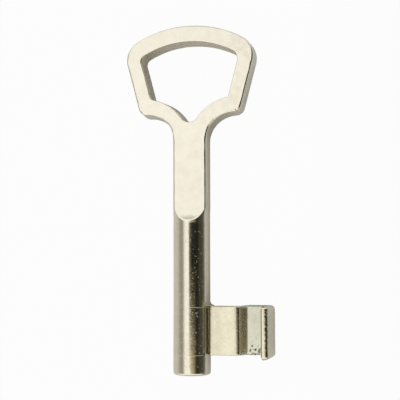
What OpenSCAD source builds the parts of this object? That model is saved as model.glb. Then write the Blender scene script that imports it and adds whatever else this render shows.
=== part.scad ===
// Warded key for a room door, lying flat: the stem runs along Y with the bow at +Y,
// the bit points to +X and the bow's broad face looks up to +Z.
// The origin is on the stem's axis, level with the bit's lower edge.

/* [Stem] */
// Diameter of the round stem
stem_d = 7.8; // [7:0.1:9]
// Length of the round stem from the bit to the joint below the bow's shank
stem_l = 17.6; // [14:0.2:30]
// Length of the nose below the bit
nose_l = 4.2; // [2.4:0.1:6]
// Diameter of the nose, cast with the bit's collar
nose_d = 7.9; // [7.5:0.1:8.4]
// Radius that breaks the nose's end
nose_edge = 0.6; // [0.2:0.1:1]

/* [Joints] */
// Diameter of the spigots that carry the bit, the nose and the bow
spigot_d = 4.6; // [3.6:0.1:5.2]
// Length of the spigot on the bow's shank
tang_l = 8; // [4:0.5:12]
// Length of the stem's spigot that stands in the nose
nose_spigot_l = 2; // [0.8:0.1:2]
// Brazing gap round each spigot
braze_gap = 0.03; // [0.02:0.01:0.06]

/* [Shank and bow plate] */
// Thickness of the bow and of the shank across its two flats
plate_t = 4.7; // [3.8:0.1:5.4]
// Length of the shank from the joint to the underside of the shoulders
shank_l = 23.2; // [18:0.1:32]
// Length over which each flat runs out into the round at its lower end
runout_l = 4.3; // [2.6:0.1:5.4]
// Plain round left between the joint and the end of the flats
land_l = 0.5; // [0.3:0.1:2]

/* [Bow outline] */
// Width of the bow across its upper corners
bow_w = 27.4; // [25:0.2:34]
// Height of the bow from the underside of the shoulders to the crown
bow_l = 18.9; // [17:0.1:22]
// Radius of the crown's arc
crown_r = 23.6; // [21:0.1:30]
// Radius of the upper outer corners
corner_r = 4.5; // [3.8:0.1:5.6]
// Lean of the two side arms, in degrees
lean = 14.8; // [10:0.2:18]
// Radius of the lower outer corners
heel_r = 1.8; // [1:0.1:2.4]
// Radius that leads from the shoulders into the shank
shoulder_r = 6.1; // [5:0.1:6.6]

/* [Bow opening] */
// Width of the bar along the crown
crown_bar = 3.4; // [2.6:0.1:4]
// Width of the bar in the side arms
arm_bar = 3.05; // [2.6:0.05:3.6]
// Radius in the opening's upper corners
eye_corner_r = 1.6; // [1.2:0.1:2.4]
// Radius in the opening's lower corners
eye_heel_r = 0.7; // [0.5:0.1:1]
// Radius of the two lobes that rise into the opening
lobe_r = 10.2; // [9.6:0.1:11]
// Distance of each lobe's centre from the key's middle line
lobe_x = 10; // [9.4:0.1:10.4]
// Depth of the notch between the lobes, below the underside of the shoulders
notch_drop = 1.8; // [1.2:0.1:2.4]
// Radius at the bottom of the notch
notch_r = 2; // [1.6:0.1:2.4]

/* [Bit] */
// Length of the bit's web along the stem
bit_h = 10; // [8:0.2:14]
// Reach of the bit from the stem's axis, at its back face
bit_reach = 17.5; // [17:0.1:20]
// Thickness of the bit at its outer rib
bit_t = 7.6; // [7:0.1:8]
// Height of the web's broad face above the stem's middle plane
web_z = 0.7; // [0.3:0.1:1.2]
// Thickness of the web
web_t = 2; // [1.6:0.1:2.4]
// Distance from the stem's axis to the edge where the web steps back
step_x = 10.1; // [8.5:0.1:11]
// Run of the sloping step
step_run = 1.5; // [0.8:0.1:2]
// Depth of the step
step_drop = 1.8; // [1.2:0.1:2.2]
// Distance from the stem's axis to the inner wall of the outer rib
rib_x = 15.2; // [14.5:0.1:15.4]
// Width of the outer rib across its front
rib_w = 1.3; // [1:0.1:1.5]
// How far the outer rib stands out below the web, towards the nose
rib_below = 0.6; // [0.3:0.1:1.2]
// How far the outer part of the bit stands out above the web, towards the bow
rib_above = 0.25; // [0.1:0.05:0.5]
// Radius that breaks the web's front edge at the step
step_edge = 1.2; // [0.6:0.1:1.4]
// Radius that breaks the rib's outer edge in front
rib_edge = 0.6; // [0.3:0.1:0.8]
// Radius that breaks the bit's other edges
small_edge = 0.3; // [0.1:0.05:0.4]
// Radius of the bit's outer corner towards the bow
bit_corner_r = 1.1; // [0.6:0.1:1.6]
// Radius of the bit's outer corner towards the nose
bit_toe_r = 0.8; // [0.4:0.1:1.4]
// Radius of the fine raised line round the stem at each end of the bit
witness_r = 0.08; // [0.05:0.01:0.15]

/* [Hidden] */

round_fn = 96;
fine_fn = 24;
arc_step = 3;
past = 1;

stem_r = stem_d / 2;
nose_r = nose_d / 2;
bore_d = spigot_d + 2 * braze_gap;
stem_top = bit_h + stem_l;
flat_end = stem_top + land_l + runout_l;
flat_z = plate_t / 2;
flat_half_w = sqrt(stem_r * stem_r - flat_z * flat_z);

// Radius of the round cutter that leaves the run-out at the end of each flat
runout_r = (runout_l * runout_l + pow(stem_r - flat_z, 2)) / (2 * (stem_r - flat_z));

// Heights of the bow along the stem's axis
under_y = stem_top + shank_l;
crown_y = under_y + bow_l;
crown_cy = crown_y - crown_r;
shoulder_cy = under_y - shoulder_r;

// Where the plate has grown as wide as the round shank, so the shank can end inside it
shank_end = shoulder_cy + sqrt(pow(shoulder_r, 2) - pow(shoulder_r - (stem_r - flat_half_w), 2)) + 0.1;

function on_circle(c, r, a) = [c[0] + r * cos(a), c[1] + r * sin(a)];

// Points of an arc from angle a0 to angle a1
function arc(c, r, a0, a1) =
    let (n = max(1, ceil(abs(a1 - a0) / arc_step)))
    [for (i = [0 : n]) on_circle(c, r, a0 + (a1 - a0) * i / n)];

function angle_to(from, to) = atan2(to[1] - from[1], to[0] - from[0]);

// The same outline on the other side of the middle line, in the opposite order
function mirrored(pts) = [for (i = [len(pts) - 1 : -1 : 0]) [-pts[i][0], pts[i][1]]];

// Arc of radius r that rounds the corner b between a and c
function corner_arc(a, b, c, r) =
    let (u = (a - b) / norm(a - b))
    let (v = (c - b) / norm(c - b))
    let (half = acos(u * v) / 2)
    let (m = b + (u + v) / norm(u + v) * r / sin(half))
    let (a0 = angle_to(m, b + u * r / tan(half)))
    let (turn = angle_to(m, b + v * r / tan(half)) - a0)
    let (sweep = turn > 180 ? turn - 360 : turn < -180 ? turn + 360 : turn)
    arc(m, r, a0, a0 + sweep);

// An outline of corners [x, y, radius], each rounded by its radius
function rounded(pts) = [
    for (i = [0 : len(pts) - 1])
        let (n = len(pts))
        let (p = pts[(i + n - 1) % n])
        let (q = pts[i])
        let (s = pts[(i + 1) % n])
        each q[2] > 0 ? corner_arc([p[0], p[1]], [q[0], q[1]], [s[0], s[1]], q[2]) : [[q[0], q[1]]]
];

// Centre of a corner arc that touches the crown's arc from inside and reaches out to half_w
function crown_corner(arc_r, r, half_w) =
    [half_w - r, crown_cy + sqrt(pow(arc_r - r, 2) - pow(half_w - r, 2))];

// The arms' outer line lies at distance arm_d from the origin along its normal
arm_n = [cos(lean), -sin(lean)];
corner_c = crown_corner(crown_r, corner_r, bow_w / 2);
arm_d = corner_c * arm_n + corner_r;

// Point at height y whose distance from the origin along the arm's normal is d
function on_arm(y, d) = [(d + y * sin(lean)) / cos(lean), y];

heel_c = on_arm(under_y + heel_r, arm_d - heel_r);
shoulder_c = [flat_half_w + shoulder_r, shoulder_cy];

// Right half of the bow's outer outline, from the crown down to the shank
outer_half = concat(
    arc([0, crown_cy], crown_r, 90, angle_to([0, crown_cy], corner_c)),
    arc(corner_c, corner_r, angle_to([0, crown_cy], corner_c), -lean),
    arc(heel_c, heel_r, -lean, -90),
    arc(shoulder_c, shoulder_r, 90, 180)
);

// The opening's upper corner touches the inner crown arc and the arm's inner line
eye_arc_r = crown_r - crown_bar;
eye_arm_d = arm_d - arm_bar;
eye_reach = eye_arc_r - eye_corner_r;
eye_turn = acos((eye_arm_d - eye_corner_r + crown_cy * sin(lean)) / eye_reach) - lean;
eye_corner_c = on_circle([0, crown_cy], eye_reach, eye_turn);

// The notch and the lobes beside it touch each other
notch_c = [0, under_y - notch_drop + notch_r];
lobe_c = [lobe_x, notch_c[1] - sqrt(pow(lobe_r + notch_r, 2) - lobe_x * lobe_x)];

// The opening's lower corner touches the arm's inner line and the lobe
arm_dir = [sin(lean), cos(lean)];
arm_foot = arm_n * (eye_arm_d - eye_heel_r);
to_lobe = arm_foot - lobe_c;
along = -(to_lobe * arm_dir) + sqrt(pow(to_lobe * arm_dir, 2) - to_lobe * to_lobe + pow(lobe_r + eye_heel_r, 2));
eye_heel_c = arm_foot + arm_dir * along;

// Right half of the opening, from the crown down to the notch
eye_half = concat(
    arc([0, crown_cy], eye_arc_r, 90, eye_turn),
    arc(eye_corner_c, eye_corner_r, eye_turn, -lean),
    arc(eye_heel_c, eye_heel_r, -lean, angle_to(eye_heel_c, lobe_c)),
    arc(lobe_c, lobe_r, angle_to(lobe_c, eye_heel_c), angle_to(lobe_c, notch_c)),
    arc(notch_c, notch_r, angle_to(notch_c, lobe_c), -90)
);

// Ward profile of the bit across the stem: web, sloping step, groove floor and outer rib,
// whose outer end leans in towards the front as it left the mould
web_back = web_z - web_t;
floor_z = web_z - step_drop;
groove_x = step_x + step_run;
ward_profile = [
    [0, web_z, 0],
    [step_x, web_z, step_edge],
    [groove_x, floor_z, 0],
    [rib_x, floor_z, 0],
    [rib_x, bit_t / 2, small_edge],
    [rib_x + rib_w, bit_t / 2, rib_edge],
    [bit_reach, -bit_t / 2, small_edge],
    [groove_x, -bit_t / 2, small_edge],
    [step_x, web_back, small_edge],
    [0, web_back, 0]
];

// Outline of the bit seen from the front
bit_outline = [
    [0, 0, 0],
    [rib_x, 0, 0],
    [rib_x, -rib_below, small_edge],
    [bit_reach, -rib_below, bit_toe_r],
    [bit_reach, bit_h + rib_above, bit_corner_r],
    [groove_x, bit_h + rib_above, 0],
    [step_x, bit_h, 0],
    [0, bit_h, 0]
];

// A round bar along Y from y0 to y1
module bar(d, y0, y1) {
    translate([0, y0, 0])
        rotate([-90, 0, 0])
            cylinder(d = d, h = y1 - y0, $fn = round_fn);
}

// A flat outline in X and Z carried along Y from y0 to y1
module along_stem(y0, y1) {
    translate([0, y1, 0])
        rotate([90, 0, 0])
            linear_extrude(height = y1 - y0)
                children();
}

// A thickness cut by a round cutter across the shank, for one flat and its run-out
module flat_cut() {
    translate([-stem_d, flat_end, flat_z])
        cube([2 * stem_d, shank_l + bow_l, stem_d]);
    translate([-stem_d, flat_end, flat_z + runout_r])
        rotate([0, 90, 0])
            cylinder(r = runout_r, h = 2 * stem_d, $fn = round_fn);
}

// Round shank with a flat on each face
module shank() {
    difference() {
        bar(stem_d, stem_top, shank_end);
        flat_cut();
        mirror([0, 0, 1])
            flat_cut();
    }
}

// Loop of the bow: a plate with its opening and the fillets down to the shank
module loop() {
    translate([0, 0, -flat_z])
        linear_extrude(height = plate_t)
            difference() {
                polygon(concat(outer_half, mirrored(outer_half)));
                polygon(concat(eye_half, mirrored(eye_half)));
            }
}

module bow() {
    color("#ece6d0") {
        loop();
        shank();
        bar(spigot_d, stem_top - tang_l, stem_top + land_l / 2);
    }
}

module stem() {
    color("#d8d2bd")
        difference() {
            union() {
                bar(stem_d, bit_h, stem_top);
                bar(spigot_d, -nose_spigot_l, bit_h + past);
            }
            bar(bore_d, stem_top - tang_l - braze_gap, stem_top + past);
        }
}

// Fine raised line round the collar at height y, where its radius is r
module witness_line(y, r) {
    translate([0, y, 0])
        rotate([-90, 0, 0])
            rotate_extrude($fn = round_fn)
                translate([r, 0])
                    intersection() {
                        circle(r = witness_r, $fn = fine_fn);
                        translate([-witness_r, y > bit_h / 2 ? -witness_r : 0])
                            square([2 * witness_r, witness_r]);
                    }
}

// Flag of the bit: its ward profile along the stem, within its outline
module flag() {
    intersection() {
        along_stem(-rib_below, bit_h + rib_above)
            polygon(rounded(ward_profile));
        translate([0, 0, -bit_t])
            linear_extrude(height = 2 * bit_t)
                polygon(rounded(bit_outline));
    }
}

// Collar round the stem, cast with a slight draft from the nose's width to the stem's
module collar() {
    rotate([-90, 0, 0])
        cylinder(d1 = nose_d, d2 = stem_d, h = bit_h, $fn = round_fn);
}

module bit() {
    color("#e3ddc3")
        difference() {
            union() {
                collar();
                witness_line(0, nose_r);
                witness_line(bit_h, stem_r);
                flag();
            }
            bar(bore_d, -past, bit_h + past);
        }
}

module nose() {
    color("#d8d2bd")
        difference() {
            rotate([90, 0, 0])
                rotate_extrude($fn = round_fn)
                    union() {
                        square([nose_r - nose_edge, nose_l]);
                        square([nose_r, nose_l - nose_edge]);
                        translate([nose_r - nose_edge, nose_l - nose_edge])
                            circle(r = nose_edge, $fn = 2 * fine_fn);
                    }
            bar(bore_d, -nose_spigot_l - braze_gap, past);
        }
}

bow();
stem();
bit();
nose();
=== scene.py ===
"""A warded door key lying on its back, dressed as bright nickel over a casting."""

import math

import bmesh
import bpy
from mathutils import Matrix, Vector, noise


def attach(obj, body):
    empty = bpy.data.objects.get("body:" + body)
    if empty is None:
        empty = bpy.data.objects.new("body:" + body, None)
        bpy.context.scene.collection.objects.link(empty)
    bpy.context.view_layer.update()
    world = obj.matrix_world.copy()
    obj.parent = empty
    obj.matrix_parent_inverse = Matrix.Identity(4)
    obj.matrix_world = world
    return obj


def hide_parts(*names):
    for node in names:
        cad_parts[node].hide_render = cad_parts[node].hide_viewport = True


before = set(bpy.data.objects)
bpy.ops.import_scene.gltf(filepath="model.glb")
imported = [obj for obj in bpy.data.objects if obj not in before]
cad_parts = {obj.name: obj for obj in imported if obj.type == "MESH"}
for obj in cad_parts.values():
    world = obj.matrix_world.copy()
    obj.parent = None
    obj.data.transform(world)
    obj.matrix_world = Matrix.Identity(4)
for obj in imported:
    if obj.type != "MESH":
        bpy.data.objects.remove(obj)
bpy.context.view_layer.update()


# The bow is a cast plate with a trapezoid eye, and the flatted shank runs down from it in the same
# casting. The casting is dressed, its edges are just broken, and then it is nickel plated. The two
# flats of the shank were cut last and run out in a round tongue above the joint with the stem.
MM = 0.001
STEM_R = 3.9
# The joint with the stem, the round land above it, and the ramp of the run-out, soft at its upper end
JOINT_Y = 27.6
LAND, RUNOUT = 0.4, 2.9
RAMP_SOFT, RAMP_CURVE = 0.25, 0.04
FLAT_Z = 2.35
FLAT_END = JOINT_Y + LAND + RUNOUT
# The bow from its underside up, with arms that lean out, and its eye with two lobes and a notch
UNDER_Y = 50.8
BOW_W, BOW_L = 27.54, 18.9
CROWN_R, CORNER_R, HEEL_R, SHOULDER_R = 23.6, 4.5, 1.8, 6.1
SHOULDER_RISE = 3.6
LEAN = 14.8
CROWN_BAR, ARM_BAR = 3.4, 3.13
EYE_CORNER_RIGHT, EYE_CORNER_LEFT, EYE_HEEL_R = 2.35, 1.6, 0.7
LOBE_R, LOBE_X, NOTCH_DROP, NOTCH_R = 10.2, 10.0, 1.8, 2.0
# The broken edges: even ones on the shank, and hand-filed ones on the bow, finer on its right arm
PLATE_EDGE, EYE_EDGE = 0.36, 0.2
SHANK_EDGE, RIM_EDGE, RIM_GROWTH = 0.17, 0.44, 4
INNER = 0.06
RAGGED, COARSE_GRAIN, FINE_GRAIN, FINE_SHARE = 0.45, 0.7, 2.3, 0.6
RIGHT_LESS, RIGHT_FROM, RIGHT_FULL = 0.28, 4, 9
SETTLE = 1.2
KNOCK, KNOCK_X, KNOCK_Y, KNOCK_R, KNOCK_GRAIN = 2.4, 9.6, 52.2, 2, 2.9
# How much fuller the shank's corners are than flats of this width give, and where that ends
FULLER_RIGHT, FULLER_LEFT = 0.3, 0.17
FADE_RIGHT, FADE_LEFT = 6.0, 1.2
FULLER_FADE, FULLER_DOWN = 0.8, 1.6
# The draft of the casting's walls, which is larger at the lower left
DRAFT, DRAFT_LOW = 0.15, 0.35
LOW_FROM, LOW_FULL, LOW_ACROSS = 54.5, 52.0, 3
# How finely the mesh is divided, and the least angle between faces that shows as an edge
ARC_STEP = 7
EDGE_STEPS, SIDE_STEPS = 5, 6
TONGUE_STEPS, TONGUE_COLUMNS = 16, 8
FIRST_MOST = 0.45
HALVINGS, NUDGE, HAIR = 40, 0.02, 0.01
SHARP_FROM = math.radians(34)

FLAT_HALF = math.sqrt(STEM_R ** 2 - FLAT_Z ** 2)
RAMP = (STEM_R - FLAT_Z - RAMP_CURVE * RUNOUT ** 2) * (RUNOUT + RAMP_SOFT) / RUNOUT ** 2
CROWN_CY = UNDER_Y + BOW_L - CROWN_R
SHOULDER_CY = UNDER_Y - SHOULDER_R


def arc(centre, radius, start, end, hollow=False, spacing=0.45):
    """Points on an arc in degrees, each with the direction that leaves the metal."""
    turn = math.radians(end - start)
    steps = max(2, math.ceil(abs(turn) * radius / spacing), math.ceil(abs(end - start) / ARC_STEP))
    side = -1 if hollow else 1
    points = []
    for i in range(steps + 1):
        a = math.radians(start) + turn * i / steps
        c, s = math.cos(a), math.sin(a)
        points.append((centre[0] + radius * c, centre[1] + radius * s, side * c, side * s))
    return points


def run(*parts, spacing=0.8):
    """Arcs joined end to end, with evenly spaced points on the straight lines between them."""
    points = list(parts[0])
    for part in parts[1:]:
        a, b = points[-1], part[0]
        gap = math.hypot(b[0] - a[0], b[1] - a[1])
        steps = max(1, math.ceil(gap / spacing))
        for i in range(1, steps):
            f = i / steps
            points.append((a[0] + (b[0] - a[0]) * f, a[1] + (b[1] - a[1]) * f, b[2], b[3]))
        points += part[1:] if gap < 1e-6 else part
    return points


def bearing(a, b):
    """Direction from a to b, in degrees from +X."""
    return math.degrees(math.atan2(b[1] - a[1], b[0] - a[0]))


def beside(half):
    """The same line on the other side of the middle, walked back."""
    return [(-x, y, -nx, ny) for x, y, nx, ny in reversed(half)]


lean = math.radians(LEAN)
arm_n = (math.cos(lean), -math.sin(lean))
corner_x = BOW_W / 2 - CORNER_R
corner_c = (corner_x, CROWN_CY + math.sqrt((CROWN_R - CORNER_R) ** 2 - corner_x ** 2))
arm_d = corner_c[0] * arm_n[0] + corner_c[1] * arm_n[1] + CORNER_R
heel_y = UNDER_Y + HEEL_R
heel_c = ((arm_d - HEEL_R + heel_y * math.sin(lean)) / math.cos(lean), heel_y)
shoulder_c = (FLAT_HALF + SHOULDER_R, SHOULDER_CY)
crown_turn = bearing((0, CROWN_CY), corner_c)
outer_right = run(
    arc((0, CROWN_CY), CROWN_R, 90, crown_turn, spacing=0.7),
    arc(corner_c, CORNER_R, crown_turn, -LEAN),
    arc(heel_c, HEEL_R, -LEAN, -90, spacing=0.25),
    arc(shoulder_c, SHOULDER_R, 90, 180, hollow=True, spacing=0.35),
    [(FLAT_HALF, FLAT_END, 1, 0)],
)

eye_r = CROWN_R - CROWN_BAR
eye_d = arm_d - ARM_BAR
notch_c = (0, UNDER_Y - NOTCH_DROP + NOTCH_R)
lobe_c = (LOBE_X, notch_c[1] - math.sqrt((LOBE_R + NOTCH_R) ** 2 - LOBE_X ** 2))
foot = Vector(arm_n) * (eye_d - EYE_HEEL_R)
along = Vector((math.sin(lean), math.cos(lean)))
to_lobe = foot - Vector(lobe_c)
square = to_lobe.dot(along) ** 2 - to_lobe.dot(to_lobe) + (LOBE_R + EYE_HEEL_R) ** 2
eye_heel_c = tuple(foot + along * (math.sqrt(square) - to_lobe.dot(along)))


def half_eye(corner_r):
    """Half of the eye's outline, from the middle of the crown to the foot of the notch."""
    reach = eye_r - corner_r
    turn = math.acos((eye_d - corner_r + CROWN_CY * math.sin(lean)) / reach) - lean
    corner = (reach * math.cos(turn), CROWN_CY + reach * math.sin(turn))
    turn = math.degrees(turn)
    return run(
        arc((0, CROWN_CY), eye_r, 90, turn, hollow=True, spacing=0.7),
        arc(corner, corner_r, turn, -LEAN, hollow=True, spacing=0.25),
        arc(eye_heel_c, EYE_HEEL_R, -LEAN, bearing(eye_heel_c, lobe_c), hollow=True, spacing=0.12),
        arc(lobe_c, LOBE_R, bearing(lobe_c, eye_heel_c), bearing(lobe_c, notch_c)),
        arc(notch_c, NOTCH_R, bearing(notch_c, lobe_c), -90, hollow=True, spacing=0.25),
    )


def cut_z(y):
    """Height of the flat, and of the ramp that runs out of it at its lower end."""
    down = max(0, FLAT_END - y)
    return FLAT_Z + RAMP * down ** 2 / (down + RAMP_SOFT) + RAMP_CURVE * down ** 2


def on_round(turn, y, radius=STEM_R):
    """Point on the round of the key, turned from the top towards the bit."""
    return Vector((radius * math.sin(turn), y, radius * math.cos(turn)))


def broken_edge(a, e, c):
    """Points across an edge e that is rounded between a and c."""
    steps = [i / EDGE_STEPS for i in range(EDGE_STEPS + 1)]
    return [a * (1 - t) ** 2 + e * 2 * t * (1 - t) + c * t ** 2 for t in steps]


def by_hand(edge, x, y):
    """Size of a broken edge, uneven from the file, finer on the right arm and knocked at its heel."""
    here = Vector((x, y, 0))
    away = ((x - KNOCK_X) ** 2 + (y - KNOCK_Y) ** 2) / KNOCK_R ** 2
    knocked = KNOCK * math.exp(-away) * max(0, noise.noise(here * KNOCK_GRAIN))
    finer = RIGHT_LESS * min(1, max(0, (x - RIGHT_FROM) / (RIGHT_FULL - RIGHT_FROM)))
    ragged = RAGGED * (noise.noise(here * COARSE_GRAIN) + FINE_SHARE * noise.noise(here * FINE_GRAIN))
    return edge * ((1 - finer) * (1 + ragged) + knocked)


def drafted(column, n, face, side, share=1):
    """The column with its wall leaning out from the key's front to its back.

    The column belongs to the front half of the plate where face is 1, and to the back half where it
    is -1. The lean is larger at the lower left of the bow, and share is how much of it is left.
    """
    low = min(1, max(0, (LOW_FROM - column[0].y) / (LOW_FROM - LOW_FULL)))
    low *= min(1, max(0, 0.5 - side * column[0].x / LOW_ACROSS))
    lean_out = (DRAFT + (DRAFT_LOW - DRAFT) * low) * share
    return [p + n * (lean_out * (1 - face * p.z / FLAT_Z) / 2) for p in column]


def plate_column(x, y, nx, ny, face, edge=PLATE_EDGE, fuller=0, side=1):
    """Points from the flat over the broken edge and down the wall to the middle plane.

    The side is -1 for a column that is mirrored to the left of the key later, and 1 otherwise.
    """
    n = Vector((nx, ny, 0))
    e = Vector((x, y, FLAT_Z)) + n * fuller
    edge = by_hand(edge, side * x, y)
    column = [e - n * (edge + INNER)] + broken_edge(e - n * edge, e, e - Vector((0, 0, edge)))
    low = column[-1].z
    column += [Vector((e.x, e.y, low * (1 - i / SIDE_STEPS))) for i in range(1, SIDE_STEPS + 1)]
    return drafted(column, n, face, side)


def bulge(fuller, share):
    """How far the side stands out past the round, at a share of the way down from the corner."""
    return Vector((fuller * max(0, 1 - FULLER_DOWN * share), 0, 0))


def shank_column(x, y, nx, ny, face, fuller, side):
    """As plate_column, where the shank's round side passes into the wall of the shoulder."""
    rise = min(1, max(0, (y - SHOULDER_CY) / SHOULDER_RISE))
    wall = rise * rise * (3 - 2 * rise)
    n = Vector((nx, ny, 0))
    e = Vector((x, y, FLAT_Z)) + n * fuller
    settled = min(1, max(0, (y - FLAT_END) / SETTLE))
    even = SHANK_EDGE + (PLATE_EDGE - SHANK_EDGE) * wall
    edge = even + (by_hand(even, side * x, y) - even) * settled
    turn = math.asin(FLAT_HALF / STEM_R)
    corner = on_round(turn, y)
    down = []
    for i in range(SIDE_STEPS + 1):
        f = i / SIDE_STEPS
        down_turn = turn + edge / STEM_R + (math.pi / 2 - turn - edge / STEM_R) * f
        on_side = on_round(down_turn, y) - corner + bulge(fuller, f) - bulge(fuller, 0)
        on_wall = Vector((0, 0, -edge - (FLAT_Z - edge) * f))
        down.append(e + on_side * (1 - wall) + on_wall * wall)
    column = [e - n * (edge + INNER)] + broken_edge(e - n * edge, e, down[0]) + down[1:]
    return drafted(column, n, face, side, wall)


def rim_at(turn):
    """Place on the rim of the tongue, where the ramp meets the round, from its side to its tip."""
    x = FLAT_HALF * math.cos(turn)
    z = math.sqrt(STEM_R ** 2 - x * x)
    low, high = 0.0, RUNOUT
    for i in range(HALVINGS):
        middle = (low + high) / 2
        if cut_z(FLAT_END - middle) < z:
            low = middle
        else:
            high = middle
    return Vector((x, FLAT_END - high, z))


def tongue_columns(fuller):
    """Columns round the tongue of the run-out, from the flat's side to its tip."""
    columns = []
    for i in range(1, TONGUE_STEPS + 1):
        t = math.radians(90 * i / TONGUE_STEPS)
        rim = rim_at(t)
        ahead = rim_at(t + NUDGE) - rim_at(t - NUDGE)
        n = Vector((-ahead.y, ahead.x, 0)).normalized() if i < TONGUE_STEPS else Vector((0, -1, 0))
        edge = SHANK_EDGE + (RIM_EDGE - SHANK_EDGE) * math.sin(t) ** RIM_GROWTH
        share = i / TONGUE_STEPS
        full = fuller * (1 - share) ** FULLER_FADE
        bare = rim.copy()
        rim.x += full
        inside = [rim - n * (edge + INNER), rim - n * edge]
        for p in inside:
            p.z = cut_z(p.y)
        start = Vector((math.asin(bare.x / STEM_R), bare.y))
        if share <= 0.5:
            end = Vector((math.pi / 2, FLAT_END + (JOINT_Y - FLAT_END) * share * 2))
        else:
            end = Vector((math.pi * (1 - share), JOINT_Y))
        way = Vector(((end.x - start.x) * STEM_R, end.y - start.y))
        first = min(FIRST_MOST, SHANK_EDGE / way.length)
        down = [start.lerp(end, first + (1 - first) * k / SIDE_STEPS) for k in range(SIDE_STEPS + 1)]
        down = [on_round(p.x, p.y) + bulge(full, k / SIDE_STEPS) for k, p in enumerate(down)]
        columns.append(inside[:1] + broken_edge(inside[1], rim, down[0]) + down[1:])
    return columns


def half_of_bow(face, fuller, fade, side):
    """Columns from the crown down one side of the bow and shank to the end of the flat."""
    columns = []
    for x, y, nx, ny in outer_right:
        full = fuller * max(0, 1 - (x - FLAT_HALF) / fade) if y < UNDER_Y + HAIR else 0
        if y > SHOULDER_CY + SHOULDER_RISE or abs(nx) < HAIR:
            columns.append(plate_column(x, y, nx, ny, face, fuller=full, side=side))
        else:
            columns.append(shank_column(x, y, nx, ny, face, full, side))
    return columns


def flipped(p, x=1, z=1):
    """The point on the other side of the key for x=-1, or on its other face for z=-1."""
    return Vector((p.x * x, p.y, p.z * z))


def quads(mesh, rows):
    """Faces between rows of points of the same length."""
    made = [[mesh.verts.new(p) for p in row] for row in rows]
    for a, b in zip(made, made[1:]):
        for i in range(len(a) - 1):
            mesh.faces.new((a[i], a[i + 1], b[i + 1], b[i]))


def finish_mesh(name, mesh, weld=0.002):
    """Welds the parts of a mesh in millimetres, and makes an object of it in metres."""
    bmesh.ops.remove_doubles(mesh, verts=mesh.verts, dist=weld)
    bmesh.ops.dissolve_degenerate(mesh, edges=mesh.edges, dist=weld / 2)
    bmesh.ops.recalc_face_normals(mesh, faces=mesh.faces)
    mesh.transform(Matrix.Scale(MM, 4))
    data = bpy.data.meshes.new(name)
    mesh.to_mesh(data)
    mesh.free()
    data.polygons.foreach_set("use_smooth", [True] * len(data.polygons))
    data.set_sharp_from_angle(angle=SHARP_FROM)
    piece = bpy.data.objects.new(name, data)
    bpy.context.scene.collection.objects.link(piece)
    even = piece.modifiers.new("even_normals", "WEIGHTED_NORMAL")
    even.keep_sharp = True
    return piece


def fill_ramp(node, stops):
    """Sets the stops of a colour ramp, each a place from 0 to 1 with a grey level or a colour."""
    elements = node.color_ramp.elements
    while len(elements) < len(stops):
        elements.new(0.5)
    for element, (at, value) in zip(elements, stops):
        element.position = at
        element.color = (*value, 1) if isinstance(value, tuple) else (value, value, value, 1)


def share_of(tree, source, low, high):
    """Share of the way from low to high at which a value is, kept between 0 and 1."""
    node = tree.nodes.new("ShaderNodeMapRange")
    node.inputs["From Min"].default_value = low
    node.inputs["From Max"].default_value = high
    tree.links.new(source, node.inputs["Value"])
    return node.outputs[0]


def mixed(tree, a, b, factor=None):
    """Colour a passing into colour b by a factor, or a multiplied by b where there is none."""
    node = tree.nodes.new("ShaderNodeMix")
    node.data_type = "RGBA"
    if factor:
        tree.links.new(factor, node.inputs["Factor"])
    else:
        node.blend_type = "MULTIPLY"
        node.inputs["Factor"].default_value = 1.0
    tree.links.new(a, node.inputs["A"])
    if isinstance(b, tuple):
        node.inputs["B"].default_value = (*b, 1)
    else:
        tree.links.new(b, node.inputs["B"])
    return node.outputs["Result"]


def nickel(name, colour, worn, rough, grain, depth, pits, stain_and_shade=None):
    """Bright nickel: a warm metal, a little duller in patches, over the skin of what it plates.

    The rough pair is the roughness of clean and of dull patches, grain the scale of the skin, depth
    and pits how deep its waves and specks are in metres, and stain_and_shade the stains and painted
    shade multiplied into the colour, in stops of (x, colour).
    """
    material = bpy.data.materials.new(name)
    material.use_nodes = True
    nodes, links = material.node_tree.nodes, material.node_tree.links
    shader = nodes["Principled BSDF"]
    shader.inputs["Metallic"].default_value = 1.0
    place = nodes.new("ShaderNodeTexCoord")

    def clouds(scale, detail, roughness=0.5):
        node = nodes.new("ShaderNodeTexNoise")
        node.inputs["Scale"].default_value = scale
        node.inputs["Detail"].default_value = detail
        node.inputs["Roughness"].default_value = roughness
        links.new(place.outputs["Object"], node.inputs["Vector"])
        return node.outputs["Fac"]

    def ramp(source, stops):
        node = nodes.new("ShaderNodeValToRGB")
        links.new(source, node.inputs["Fac"])
        fill_ramp(node, stops)
        return node.outputs["Color"]

    def bump(height, deep, under=None):
        node = nodes.new("ShaderNodeBump")
        node.inputs["Distance"].default_value = deep
        node.inputs["Strength"].default_value = 1.0
        links.new(height, node.inputs["Height"])
        if under:
            links.new(under, node.inputs["Normal"])
        return node.outputs["Normal"]

    plate = ramp(clouds(scale=420, detail=6, roughness=0.65), [(0.36, worn), (0.60, colour)])
    # Stains and painted shade, multiplied into the plate's colour by their place across the key
    if stain_and_shade:
        where = nodes.new("ShaderNodeSeparateXYZ")
        links.new(place.outputs["Object"], where.inputs[0])
        reach = stain_and_shade[-1][0]
        across = share_of(material.node_tree, where.outputs["X"], 0, reach * MM)
        stain_and_shade_ramp = ramp(across, [(x / reach, value) for x, value in stain_and_shade])
        plate = mixed(material.node_tree, plate, stain_and_shade_ramp)
    links.new(plate, shader.inputs["Base Color"])
    dull = ramp(clouds(scale=650, detail=5), [(0.35, rough[1]), (0.65, rough[0])])
    links.new(dull, shader.inputs["Roughness"])
    waves = bump(clouds(grain, detail=3), depth)
    specks = ramp(clouds(grain * 1.1, detail=2, roughness=0.6), [(0.66, 0.0), (0.71, 1.0)])
    links.new(bump(specks, pits, waves), shader.inputs["Normal"])
    return material


def dress(piece, material, node):
    """Gives a piece its finish and its place on the key, for the node that it stands for."""
    piece.data.materials.append(material)
    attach(piece, "root")
    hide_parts(node)


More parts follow.
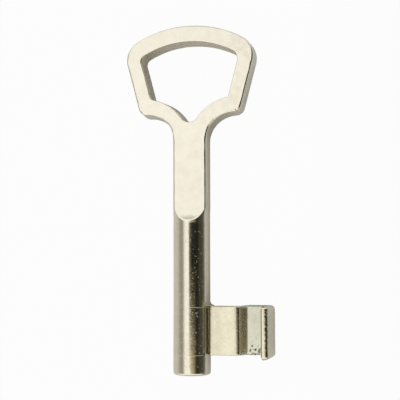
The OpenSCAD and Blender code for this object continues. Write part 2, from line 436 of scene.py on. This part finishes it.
casting = bmesh.new()
bow_columns = len(outer_right)
eye_line = half_eye(EYE_CORNER_RIGHT) + beside(half_eye(EYE_CORNER_LEFT))[1:]
for z in (1, -1):
    right = half_of_bow(z, FULLER_RIGHT, FADE_RIGHT, 1) + tongue_columns(FULLER_RIGHT)
    left = half_of_bow(z, FULLER_LEFT, FADE_LEFT, -1) + tongue_columns(FULLER_LEFT)
    around = right + [[flipped(p, x=-1) for p in column] for column in reversed(left[1:-1])]
    around.append(around[0])
    eye = [plate_column(*p, z, edge=EYE_EDGE) for p in eye_line]
    quads(casting, [[flipped(p, z=z) for p in column] for column in around])
    quads(casting, [[flipped(p, z=z) for p in column] for column in eye])
    rows = []
    for right_column, left_column in zip(right[bow_columns - 1:], left[bow_columns - 1:]):
        a, b = flipped(left_column[0], x=-1, z=z), flipped(right_column[0], z=z)
        rows.append([a.lerp(b, i / TONGUE_COLUMNS) for i in range(TONGUE_COLUMNS + 1)])
    quads(casting, rows)
    face = bmesh.new()
    rim = [flipped(column[0], z=z) for column in right[:bow_columns]]
    rim += list(reversed(rows[0]))[1:-1]
    rim += [flipped(column[0], x=-1, z=z) for column in reversed(left[1:bow_columns])]
    for loop in (rim, [flipped(column[0], z=z) for column in eye[:-1]]):
        verts = [face.verts.new(p) for p in loop]
        for a, b in zip(verts, verts[1:] + verts[:1]):
            face.edges.new((a, b))
    bmesh.ops.triangle_fill(face, edges=face.edges, use_beauty=True, use_dissolve=False)
    for triangle in face.faces:
        casting.faces.new([casting.verts.new(v.co) for v in triangle.verts])
    face.free()
ring = [on_round(math.pi * i / TONGUE_STEPS, JOINT_Y) for i in range(2 * TONGUE_STEPS)]
casting.faces.new([casting.verts.new(p) for p in ring])
bow = finish_mesh("bow_and_shank", casting)
cast_nickel = nickel("cast_nickel", colour=(0.88, 0.83, 0.70), worn=(0.85, 0.79, 0.65),
                     rough=(0.10, 0.18), grain=1100, depth=0.000009, pits=0.000003)
dress(bow, cast_nickel, "bow")


# The stem is a plain turned bar, polished and then nickel plated. It is brazed flush to the shank
# above, and a thinner spigot at its lower end passes through the bit into the nose.
BIT_H = 10.0
STEM_RINGS, ROUND_STEPS = 24, 128


def turned(profile):
    """A body of revolution about the stem's axis, closed at both ends, from (radius, y) points."""
    mesh = bmesh.new()
    turns = [2 * math.pi * i / ROUND_STEPS for i in range(ROUND_STEPS + 1)]
    quads(mesh, [[on_round(t, y, r) for t in turns] for r, y in profile])
    for r, y in (profile[0], profile[-1]):
        mesh.faces.new([mesh.verts.new(on_round(t, y, r)) for t in turns[:-1]])
    return mesh


stem_profile = [(STEM_R, BIT_H + (JOINT_Y - BIT_H) * i / STEM_RINGS) for i in range(STEM_RINGS + 1)]
stem = finish_mesh("stem_bar", turned(stem_profile))
turned_nickel = nickel("turned_nickel", colour=(0.85, 0.80, 0.66), worn=(0.81, 0.75, 0.60),
                       rough=(0.07, 0.14), grain=2200, depth=0.000013, pits=0.000014)
dress(stem, turned_nickel, "stem")


# The bit is one small casting with its collar, between two fine raised lines on the stem, and its
# flag carries the ward profile: a web, a sloping step, a groove and an outer rib. It is brazed on
# with a thin fillet, and the rib and the outer end are left a little longer than the web.
BIT_REACH, BIT_T = 17.22, 7.6
WEB_Z, WEB_T, WEB_OVER = 0.7, 2.0, 0.12
STEP_X, STEP_RUN, STEP_DROP = 10.1, 1.5, 1.8
RIB_X, RIB_W, RIB_BELOW, RIB_ABOVE, RIB_WALL = 15.2, 1.44, 0.6, 0.25, 0.03
WORN_RUN, WORN_DROP, WORN_FOOT, WORN_TOP = 0.28, 0.125, 0.12, 0.25
# The edges along the profile, the corners of the flag seen from the front, and the edges of its ends
STEP_EDGE, RIB_EDGE, SMALL_EDGE, GROOVE_R = 1.25, 0.7, 0.35, 0.2
CORNER_R_TOP, CORNER_R_TOE = 1.1, 0.8
WEB_END_EDGE, OUTER_END_EDGE, SHARPEST_MITRE = 0.25, 0.6, 0.6
# The braze on the faces of the web and at its ends, and the flag's root, which the collar hides
BRAZE_R, BRAZE_TOP, BRAZE_FOOT, BRAZE_STEPS = 0.45, 0.75, 0.3, 6
ROOT_X, ROOT_FRONT, ROOT_BACK = 3.0, 0.9, -1.5
# The casting's burr at the foot of the groove and the unevenness of the rib's outer edge
FLOOR_BURR, FLOOR_BURR_LONG, FLOOR_BURR_GRAIN, FLOOR_BURR_MORE = 0.6, 2.2, 2.6, 0.1
EDGE_BURR, EDGE_COARSE, EDGE_FINE = 0.13, 1.6, 4.1
BURR_MARGIN, ON_FLOOR = 0.1, 0.05
ROUNDED_STEP, PROFILE_SPACING, GROOVE_SPACING = 12, 0.8, 0.25
FLAG_ROWS, MORE_END_ROWS = 42, [0.05, 0.85]
# The collar is as thick as the nose at its lower end, and a fine line is raised at each end of it
NOSE_R = 3.95
LINE_HALF, LINE_H, LINE_STEPS = 0.05, 0.02, 6
COLLAR_RINGS = 12


def rounded(corners):
    """An outline of corners (x, z, radius), with each corner rounded by its radius."""
    points = []
    for i, (x, z, r) in enumerate(corners):
        b = Vector((x, z))
        if r <= 0:
            points.append(b)
            continue
        u = (Vector(corners[i - 1][:2]) - b).normalized()
        v = (Vector(corners[(i + 1) % len(corners)][:2]) - b).normalized()
        half = u.angle(v) / 2
        middle = b + (u + v).normalized() * (r / math.sin(half))
        start = b + u * (r / math.tan(half)) - middle
        sweep = math.pi - 2 * half
        if u.x * v.y - u.y * v.x > 0:
            sweep = -sweep
        steps = max(3, math.ceil(abs(math.degrees(sweep)) / ROUNDED_STEP))
        for k in range(steps + 1):
            points.append(middle + Matrix.Rotation(sweep * k / steps, 2) @ start)
    return points


def braze_arc(face_z, side):
    """The fillet of braze between a face of the web and the round of the collar."""
    centre = Vector((0, face_z + side * BRAZE_R))
    centre.x = math.sqrt((STEM_R + BRAZE_R) ** 2 - centre.y ** 2)
    start = math.pi + math.atan2(centre.y, centre.x)
    end = 1.5 * math.pi if side > 0 else math.pi / 2
    turns = [start + (end - start) * i / BRAZE_STEPS for i in range(BRAZE_STEPS + 1)]
    return [centre + Vector((math.cos(a), math.sin(a))) * BRAZE_R for a in turns]


def between(a, b, spacing):
    """Evenly spaced points from a towards b, without its end."""
    steps = max(1, math.ceil((b - a).length / spacing))
    return [a.lerp(b, i / steps) for i in range(steps)]


def hollow(x, start, radius):
    """Height of a hollow fillet that runs up to a wall at start."""
    away = min(radius, max(0, x - start))
    return radius - math.sqrt(radius ** 2 - (radius - away) ** 2)


web_back = WEB_Z - WEB_T
floor_z = WEB_Z - STEP_DROP
groove_x = STEP_X + STEP_RUN
rib_top = BIT_T / 2
before_rib = RIB_X - RIB_WALL
section = rounded([
    (ROOT_X, WEB_Z, 0),
    (STEP_X, WEB_Z, STEP_EDGE),
    (groove_x, floor_z, GROOVE_R),
    (before_rib, floor_z, 0),
    (RIB_X, floor_z, 0),
    (RIB_X, rib_top - WORN_DROP, WORN_FOOT),
    (RIB_X + WORN_RUN, rib_top, WORN_TOP),
    (RIB_X + RIB_W, rib_top, RIB_EDGE),
    (BIT_REACH, -rib_top, SMALL_EDGE),
    (RIB_X, -rib_top, 0),
    (before_rib, -rib_top, 0),
    (groove_x, -rib_top, SMALL_EDGE),
    (STEP_X, web_back, SMALL_EDGE),
    (ROOT_X, web_back, 0),
])
outline = [Vector((ROOT_X, ROOT_FRONT))] + braze_arc(WEB_Z, 1) + section[1:-1]
outline += list(reversed(braze_arc(web_back, -1))) + [Vector((ROOT_X, ROOT_BACK))]
profile = []
for a, b in zip(outline, outline[1:]):
    profile += between(a, b, GROOVE_SPACING if abs(a.y - floor_z) < HAIR else PROFILE_SPACING)
profile.append(outline[-1])
rib_start = next(i for i, p in enumerate(profile) if p.x >= RIB_X - HAIR)
rib_end = max(i for i, p in enumerate(profile) if p.x >= RIB_X - HAIR)


def inset(points, depths):
    """An outline drawn in at each corner by its depth along the corner's normal."""
    moved = []
    for i, (p, depth) in enumerate(zip(points, depths)):
        a = (p - points[i - 1]).normalized()
        b = (points[(i + 1) % len(points)] - p).normalized()
        n = Vector((a.y + b.y, -a.x - b.x)).normalized()
        moved.append(p + n * depth / max(SHARPEST_MITRE, n.dot(Vector((b.y, -b.x)))))
    return moved


def outward(x):
    """Share from the web, 0, over the step to the outer part of the bit, 1."""
    return min(1, max(0, (x - STEP_X) / STEP_RUN))


def drawn_in(radius, off):
    """How far a rounded edge is drawn in at a distance off from the end."""
    return radius - math.sqrt(radius ** 2 - (radius - off) ** 2) if off < radius else 0.0


def cast_skin(p, y):
    """Burrs of the casting on the groove's foot and along the rib's outer edge."""
    here = Vector((p.x, y, 0))
    burr = Vector((0, 0))
    if groove_x + GROOVE_R < p.x < RIB_X - BURR_MARGIN and abs(p.y - floor_z) < ON_FLOOR:
        lumps = max(0, noise.noise(here * FLOOR_BURR_GRAIN) + FLOOR_BURR_MORE)
        burr.y = FLOOR_BURR * max(0, 1 - y / FLOOR_BURR_LONG) * lumps
    rib_out = RIB_X + RIB_W
    if rib_out - RIB_EDGE < p.x < rib_out + BURR_MARGIN and p.y > rib_top - RIB_EDGE:
        burr.x = EDGE_BURR * noise.noise(Vector((0, y * EDGE_COARSE, 3)))
        burr.x += EDGE_BURR * noise.noise(Vector((0, y * EDGE_FINE, 5)))
    return burr


def slice_of(off, top, share=None):
    """The profile at a distance off from its upper or lower end, or at a share of the way up."""
    between_ends = share is not None
    reach = BIT_REACH - (0 if between_ends else drawn_in(CORNER_R_TOP if top else CORNER_R_TOE, off))
    edges = [WEB_END_EDGE + (OUTER_END_EDGE - WEB_END_EDGE) * outward(p.x) for p in profile]
    depths = [0 if between_ends else drawn_in(edge, off) for edge in edges]
    row = []
    for i, (p, q) in enumerate(zip(inset(profile, depths), profile)):
        low = -RIB_BELOW if rib_start <= i <= rib_end else -WEB_OVER - hollow(q.x, STEM_R, BRAZE_FOOT)
        above = WEB_OVER + (RIB_ABOVE - WEB_OVER) * outward(q.x)
        high = BIT_H + above + hollow(q.x, STEM_R, BRAZE_TOP)
        y = high - off if top else low + off
        if between_ends:
            y = low + off + (high - low - 2 * off) * share
        p = p + cast_skin(q, y)
        row.append(Vector((min(p.x, reach), y, p.y)))
    return row


offs = [OUTER_END_EDGE * (1 - math.sin(math.radians(a))) for a in range(0, 91, 15)]
offs = sorted(offs + MORE_END_ROWS + [CORNER_R_TOP])
flag_rows = [slice_of(off, False) for off in offs]
flag_rows += [slice_of(offs[-1], True, share / FLAG_ROWS) for share in range(1, FLAG_ROWS)]
flag_rows += [slice_of(off, True) for off in reversed(offs)]
flag = bmesh.new()
quads(flag, [row + row[:1] for row in flag_rows])
for row in (flag_rows[0], flag_rows[-1]):
    tip = max(range(len(row)), key=lambda i: row[i].x)
    front, rear = row[:tip + 1], list(reversed(row[tip:]))
    while len(front) > 1 or len(rear) > 1:
        if len(rear) == 1 or (len(front) > 1 and front[1].x < rear[1].x):
            three = [front.pop(0), front[0], rear[0]]
        else:
            three = [rear.pop(0), rear[0], front[0]]
        if len({tuple(p) for p in three}) == 3:
            flag.faces.new([flag.verts.new(p) for p in three])


def raised_line(y, radius):
    """Outline of a fine low line that stands up round the stem at height y."""
    turns = [math.pi * i / LINE_STEPS for i in range(LINE_STEPS + 1)]
    return [(radius + LINE_H * math.sin(a), y - LINE_HALF * math.cos(a)) for a in turns]


collar_profile = [(NOSE_R, 0.0)] + raised_line(LINE_HALF, NOSE_R)
for i in range(1, COLLAR_RINGS):
    y = 2 * LINE_HALF + (BIT_H - 4 * LINE_HALF) * i / COLLAR_RINGS
    collar_profile.append((NOSE_R + (STEM_R - NOSE_R) * y / BIT_H, y))
collar_profile += raised_line(BIT_H - LINE_HALF, STEM_R)
bit = finish_mesh("bit_and_collar", turned(collar_profile))
flag_piece = finish_mesh("flag", flag, weld=0.0005)
bit.modifiers.clear()
flag_piece.modifiers.clear()
brazed = bit.modifiers.new("brazed", "BOOLEAN")
brazed.operation = "UNION"
brazed.solver = "EXACT"
brazed.object = flag_piece
bpy.context.view_layer.update()
solid = bpy.data.meshes.new_from_object(bit.evaluated_get(bpy.context.evaluated_depsgraph_get()))
bit.modifiers.clear()
bit.data = solid
solid.polygons.foreach_set("use_smooth", [True] * len(solid.polygons))
solid.set_sharp_from_angle(angle=SHARP_FROM)
bit.modifiers.new("even_normals", "WEIGHTED_NORMAL").keep_sharp = True
bpy.data.objects.remove(flag_piece)
# Stains and painted shade across the bit from the collar outwards: a dark line of painted shade by
# the joint, a dull web by the braze, painted shade that darkens the step bluish and the groove
# greener in their recess, and a yellower stain on the web and the rib
PAINTED_JOINT_SHADE, DULL, WEB_STAIN = (0.53, 0.56, 0.68), (0.89, 0.89, 0.83), (0.985, 0.98, 0.91)
PAINTED_STEP_SHADE, PAINTED_GROOVE_SHADE = (0.80, 0.84, 0.97), (0.79, 0.83, 0.82)
PAST_THE_BIT = 20
# The dark line by the joint and the darker step and groove are painted shade; the rest are stains
flag_stains_and_shade = [
    (0, 1.0), (2.9, 1.0),
    (3.05, PAINTED_JOINT_SHADE), (3.3, PAINTED_JOINT_SHADE),
    (3.4, 1.0), (3.9, 1.0),
    (4.0, DULL), (5.6, DULL),
    (6.8, WEB_STAIN), (STEP_X + 0.1, WEB_STAIN),
    (STEP_X + 0.4, PAINTED_STEP_SHADE), (groove_x, PAINTED_STEP_SHADE),
    (groove_x + 0.1, PAINTED_GROOVE_SHADE), (RIB_X - 0.1, PAINTED_GROOVE_SHADE),
    (RIB_X, WEB_STAIN), (PAST_THE_BIT, WEB_STAIN),
]
bit_nickel = nickel("bit_nickel", colour=(0.85, 0.80, 0.66), worn=(0.79, 0.73, 0.58),
                    rough=(0.08, 0.16), grain=2500, depth=0.000012, pits=0.000014, stain_and_shade=flag_stains_and_shade)
dress(bit, bit_nickel, "bit")


# The nose is the plain round end beyond the bit, which turns in the lock's plate. It is turned to
# the width of the collar's lower end, brazed on the stem's spigot, and its edge is broken all round.
NOSE_L, NOSE_EDGE = 4.2, 0.6
NOSE_RINGS, NOSE_EDGE_STEPS = 6, 8
NOSE_FACE = (2.4, 1.4, 0.5)
nose_profile = [(NOSE_R, -(NOSE_L - NOSE_EDGE) * i / NOSE_RINGS) for i in range(NOSE_RINGS + 1)]
for i in range(1, NOSE_EDGE_STEPS + 1):
    a = math.radians(90 * i / NOSE_EDGE_STEPS)
    r = NOSE_R - NOSE_EDGE * (1 - math.cos(a))
    nose_profile.append((r, -NOSE_L + NOSE_EDGE * (1 - math.sin(a))))
nose_profile += [(r, -NOSE_L) for r in NOSE_FACE]
nose = finish_mesh("nose_end", turned(nose_profile))
dress(nose, turned_nickel, "nose")


# The table is a large white board, and the key lies on it as it would by itself: on its bit, on
# the lower end of its shank and on the right arm of its bow. The camera sees the board almost pure
# white, with a faint shadow. The metal sees it as the tent lights it, with painted light: a white glow
# that is stronger in some places, and painted shade that darkens it to the right.
REST_POINT = Vector((0.03, 28.1, -3.9)) * MM
REST_UP = Vector((-0.0365, -0.0289, 0.9989))
BOARD, CELLS = 0.9, 6
BOARD_WHITE = 0.96
# Painted light: how much pure white the board glows with for the metal beside the bit and beside
# the bow, as (x, share), brighter in some places than others
NEAR_X, FAR_X = -10, 70
GLOW_BY_BIT = [(-2, 0.25), (4, 0.03), (12, 0.02), (15, 0.06), (18, 0.19), (22, 0.04), (40, 0.0)]
GLOW_BY_BOW = [(-9, 0.04), (8, 0.02), (12, 0.10), (15, 0.20), (40, 0.2)]
BIT_ENDS, BOW_BEGINS = 42, 48
# The colour of the board, with painted shade that darkens it to the right, where the dark cloth of
# the tent comes down to it
BOARD_COLOUR_AND_SHADE = [(24, (0.70, 0.70, 0.69)), (48, (0.2, 0.2, 0.19))]

board_up = REST_UP.normalized()
across = Vector((0, 1, 0)).cross(board_up).normalized()
forward = board_up.cross(across)
board = bmesh.new()
marks = [BOARD * (2 * i / CELLS - 1) for i in range(CELLS + 1)]
quads(board, [[REST_POINT + across * x + forward * y for x in marks] for y in marks])
bmesh.ops.recalc_face_normals(board, faces=board.faces)
table_mesh = bpy.data.meshes.new("table")
board.to_mesh(table_mesh)
board.free()
table = bpy.data.objects.new("table", table_mesh)
bpy.context.scene.collection.objects.link(table)

paper = bpy.data.materials.new("white_board")
paper.use_nodes = True
sheet = paper.node_tree
pn, pl = sheet.nodes, sheet.links
pn.remove(pn["Principled BSDF"])
matt = pn.new("ShaderNodeBsdfDiffuse")
white = pn.new("ShaderNodeEmission")
white.inputs["Strength"].default_value = 1.0
spot = pn.new("ShaderNodeTexCoord")
spot_xyz = pn.new("ShaderNodeSeparateXYZ")
pl.new(spot.outputs["Object"], spot_xyz.inputs[0])
beside_key = share_of(sheet, spot_xyz.outputs["X"], NEAR_X * MM, FAR_X * MM)
towards_bow = share_of(sheet, spot_xyz.outputs["Y"], BIT_ENDS * MM, BOW_BEGINS * MM)


def board_ramp(stops):
    """A ramp over the board from its left to its right, from stops in millimetres from the stem."""
    node = pn.new("ShaderNodeValToRGB")
    pl.new(beside_key, node.inputs["Fac"])
    fill_ramp(node, [((x - NEAR_X) / (FAR_X - NEAR_X), value) for x, value in stops])
    return node.outputs["Color"]


# The board's colour with its painted shade
pl.new(board_ramp(BOARD_COLOUR_AND_SHADE), matt.inputs["Color"])
# Painted light: the board's white glow in the metal's reflections, by place
painted_glow = mixed(sheet, board_ramp(GLOW_BY_BIT), board_ramp(GLOW_BY_BOW), towards_bow)
rays = pn.new("ShaderNodeLightPath")
to_camera = pn.new("ShaderNodeMath")
to_camera.operation = "MULTIPLY"
to_camera.inputs[1].default_value = BOARD_WHITE
pl.new(rays.outputs["Is Camera Ray"], to_camera.inputs[0])
reflected = pn.new("ShaderNodeMath")
reflected.operation = "MAXIMUM"
pl.new(rays.outputs["Is Glossy Ray"], reflected.inputs[0])
pl.new(rays.outputs["Is Transmission Ray"], reflected.inputs[1])
# Share of white: the even backdrop for the camera, and the painted glow for reflections
white_and_painted_glow = pn.new("ShaderNodeMath")
white_and_painted_glow.operation = "MULTIPLY_ADD"
pl.new(reflected.outputs[0], white_and_painted_glow.inputs[0])
pl.new(painted_glow, white_and_painted_glow.inputs[1])
pl.new(to_camera.outputs[0], white_and_painted_glow.inputs[2])
surface = pn.new("ShaderNodeMixShader")
pl.new(white_and_painted_glow.outputs[0], surface.inputs["Fac"])
pl.new(matt.outputs[0], surface.inputs[1])
pl.new(white.outputs[0], surface.inputs[2])
pl.new(surface.outputs[0], pn["Material Output"].inputs["Surface"])
table_mesh.materials.append(paper)


# The studio is a white tent with a broad soft light high on the left and a dark cloth over the
# right side, which the round of the stem shows as its bright stripe and its dark band. The camera
# itself sees the tent as plain white.
LEFT_SIDE = [
    (-180, 0.50), (-95, (0.62, 0.60, 0.57)), (-83, (0.56, 0.55, 0.51)), (-72, (0.44, 0.43, 0.39)),
    (-62, (0.34, 0.33, 0.29)), (-52, (0.32, 0.31, 0.27)), (-43, (0.44, 0.44, 0.40)),
    (-37, (0.75, 0.75, 0.71)), (-30, 1.06),
]
RIGHT_SIDE = [(86, (0.085, 0.08, 0.06)), (94, 0.30), (180, 0.40)]
# The dark cloth over most of the key, and the brown one that its lower end shows instead
DARK_CLOTH = [
    (-7.5, 1.09), (-5.4, (0.50, 0.48, 0.42)), (-1, (0.16, 0.15, 0.11)), (5, (0.07, 0.06, 0.035)),
    (13, 0.025), (20, 0.016), (50, 0.018), (62, (0.06, 0.058, 0.038)), (76, (0.068, 0.064, 0.042)),
]
BROWN_CLOTH = [
    (-3, 1.08), (5, (0.78, 0.70, 0.54)), (10, (0.58, 0.50, 0.35)), (17, (0.48, 0.41, 0.27)),
    (23, (0.42, 0.36, 0.23)), (29, (0.27, 0.23, 0.14)), (36, (0.09, 0.075, 0.045)), (42, 0.03),
]
# Slopes of a reflected ray along the key, between which one part of the tent passes into the next
DARK_TO, BROWN_FROM = -0.04, -0.12
CLOTH_TO, ENDS_FROM = 0.36, 0.55
ENDS_TO, LOW_ENDS_FROM = 0.878, 0.898
ENDS, LOW_ENDS = (1.08, 1.08, 1.08), (0.50, 0.50, 0.48)
FOLDED = 0.3
FOLDS = [(-0.2, 1.0), (0.03, 0.985), (0.09, 0.955), (0.125, 0.99), (0.21, 1.0), (0.245, 0.95)]

world = bpy.data.worlds.new("tent")
bpy.context.scene.world = world
world.use_nodes = True
tent = world.node_tree
wn, wl = tent.nodes, tent.links
way = wn.new("ShaderNodeTexCoord")
split = wn.new("ShaderNodeSeparateXYZ")
wl.new(way.outputs["Generated"], split.inputs[0])
angle = wn.new("ShaderNodeMath")
angle.operation = "ARCTAN2"
wl.new(split.outputs["X"], angle.inputs[0])
wl.new(split.outputs["Z"], angle.inputs[1])
turn_share = wn.new("ShaderNodeMath")
turn_share.operation = "MULTIPLY_ADD"
turn_share.inputs[1].default_value = 1 / (2 * math.pi)
turn_share.inputs[2].default_value = 0.5
wl.new(angle.outputs[0], turn_share.inputs[0])
slope = wn.new("ShaderNodeMath")
slope.operation = "ABSOLUTE"
wl.new(split.outputs["Y"], slope.inputs[0])


def tent_ramp(source, stops):
    """A ramp of the tent's light over a value, from stops of (place from 0 to 1, light)."""
    node = wn.new("ShaderNodeValToRGB")
    wl.new(source, node.inputs["Fac"])
    fill_ramp(node, stops)
    return node.outputs["Color"]


def round_the_key(cloth):
    """The tent round the key, with a cloth between its sides, in degrees from straight above."""
    stops = LEFT_SIDE + cloth + RIGHT_SIDE
    return tent_ramp(turn_share.outputs[0], [(degrees / 360 + 0.5, value) for degrees, value in stops])


to_brown = share_of(tent, split.outputs["Y"], DARK_TO, BROWN_FROM)
light = mixed(tent, round_the_key(DARK_CLOTH), round_the_key(BROWN_CLOTH), to_brown)
light = mixed(tent, light, ENDS, share_of(tent, slope.outputs[0], CLOTH_TO, ENDS_FROM))
light = mixed(tent, light, LOW_ENDS, share_of(tent, slope.outputs[0], ENDS_TO, LOW_ENDS_FROM))
along_key = share_of(tent, split.outputs["Y"], -FOLDED, FOLDED)
folds = tent_ramp(along_key, [((y + FOLDED) / (2 * FOLDED), value) for y, value in FOLDS])
wl.new(mixed(tent, light, folds), wn["Background"].inputs["Color"])
backdrop = wn.new("ShaderNodeBackground")
backdrop.inputs["Strength"].default_value = 1.0
backdrop.inputs["Color"].default_value = (1, 1, 1, 1)
ray = wn.new("ShaderNodeLightPath")
choose = wn.new("ShaderNodeMixShader")
wl.new(ray.outputs["Is Camera Ray"], choose.inputs["Fac"])
wl.new(wn["Background"].outputs[0], choose.inputs[1])
wl.new(backdrop.outputs[0], choose.inputs[2])
wl.new(choose.outputs[0], wn["World Output"].inputs["Surface"])
bpy.context.scene.view_settings.view_transform = "Standard"


# The camera looks down on the key from a little to the right and below its middle. It is about 19 cm
# away, which is as close as the perspective of the photograph puts it.
AIM = Vector((1.81, 32.53, 0.0)) * MM
AWAY = 0.1913
TO_RIGHT, TO_BOW, ROLL = (math.radians(a) for a in (12.5, -3.61, -0.17))
SENSOR, FOCAL_PIXELS, FRAME_PIXELS = 36, 898.9, 400
NEAREST = 0.005
level = math.cos(TO_BOW)
back = Vector((math.sin(TO_RIGHT) * level, math.sin(TO_BOW), math.cos(TO_RIGHT) * level))
flat_x = Vector((0, 1, 0)).cross(back).normalized()
flat_y = back.cross(flat_x)
cam_x = flat_x * math.cos(ROLL) + flat_y * math.sin(ROLL)
cam_y = flat_y * math.cos(ROLL) - flat_x * math.sin(ROLL)
lens = bpy.data.cameras.new("camera")
lens.sensor_width = SENSOR
lens.lens = SENSOR * FOCAL_PIXELS / FRAME_PIXELS
lens.clip_start = NEAREST
camera = bpy.data.objects.new("camera", lens)
turned_to = Matrix((cam_x, cam_y, back)).transposed().to_4x4()
camera.matrix_world = Matrix.Translation(AIM + back * AWAY) @ turned_to
bpy.context.scene.collection.objects.link(camera)
bpy.context.scene.camera = camera
